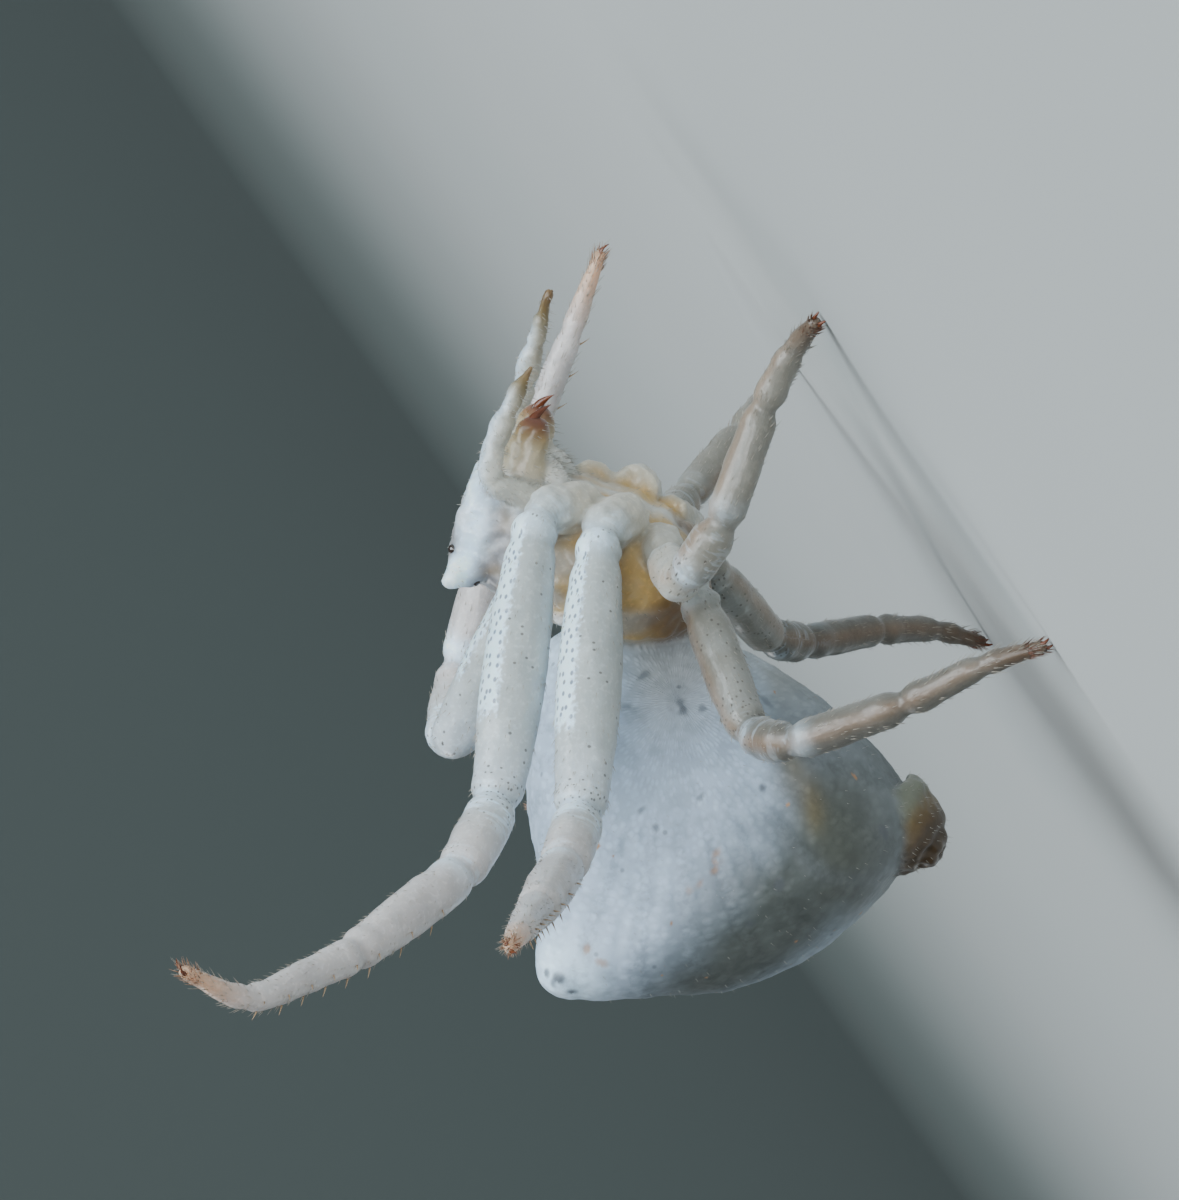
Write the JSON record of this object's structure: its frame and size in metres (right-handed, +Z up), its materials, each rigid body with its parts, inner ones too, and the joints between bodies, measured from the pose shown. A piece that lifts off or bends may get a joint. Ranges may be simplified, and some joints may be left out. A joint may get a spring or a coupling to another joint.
{
  "type": "crab spider model",
  "caption": "Still life-size white crab spider in an ambush pose: broad abdomen with pointed corner humps, long front legs raised and spread, short hind legs standing on the floor.",
  "frame": {"origin": "on the floor, under the middle of the whole spider's box", "axes": "+Z up, -Y ahead of the spider, +X to its left side"},
  "size_m": [0.0212, 0.0098, 0.0115],
  "materials": {
    "skin": "satin, slightly see-through white of legs, jaws and feelers",
    "shell": "satin white with ochre-brown sides",
    "belly": "matt bluish white with fine wrinkles",
    "tip": "matt brown",
    "claw": "glossy red-brown",
    "eye": "glossy black"
  },
  "bodies": {
    "root": {"abdomen": "belly", "chelicera_left": "skin", "chelicera_right": "skin", "eye_front_inner_left": "eye", "eye_front_inner_right": "eye", "eye_front_outer_left": "eye", "eye_front_outer_right": "eye", "eye_rear_inner_left": "eye", "eye_rear_inner_right": "eye", "eye_rear_outer_left": "eye", "eye_rear_outer_right": "eye", "fang_left": "claw", "fang_right": "claw", "left_leg_1_coxa": "skin", "left_leg_1_femur": "skin", "left_leg_1_foot": "skin", "left_leg_1_patella": "skin", "left_leg_1_tibia": "skin", "left_leg_2_coxa": "skin", "left_leg_2_femur": "skin", "left_leg_2_foot": "skin", "left_leg_2_patella": "skin", "left_leg_2_tibia": "skin", "left_leg_3_coxa": "skin", "left_leg_3_femur": "skin", "left_leg_3_foot": "skin", "left_leg_3_patella": "skin", "left_leg_3_tibia": "skin", "left_leg_4_coxa": "skin", "left_leg_4_femur": "skin", "left_leg_4_foot": "skin", "left_leg_4_patella": "skin", "left_leg_4_tibia": "skin", "palp_left": "skin", "palp_right": "skin", "pedicel": "shell", "prosoma": "shell", "right_leg_1_coxa": "skin", "right_leg_1_femur": "skin", "right_leg_1_foot": "skin", "right_leg_1_patella": "skin", "right_leg_1_tibia": "skin", "right_leg_2_coxa": "skin", "right_leg_2_femur": "skin", "right_leg_2_foot": "skin", "right_leg_2_patella": "skin", "right_leg_2_tibia": "skin", "right_leg_3_coxa": "skin", "right_leg_3_femur": "skin", "right_leg_3_foot": "skin", "right_leg_3_patella": "skin", "right_leg_3_tibia": "skin", "right_leg_4_coxa": "skin", "right_leg_4_femur": "skin", "right_leg_4_foot": "skin", "right_leg_4_patella": "skin", "right_leg_4_tibia": "skin", "spinnerets": "tip"}
  },
  "joints": []
}
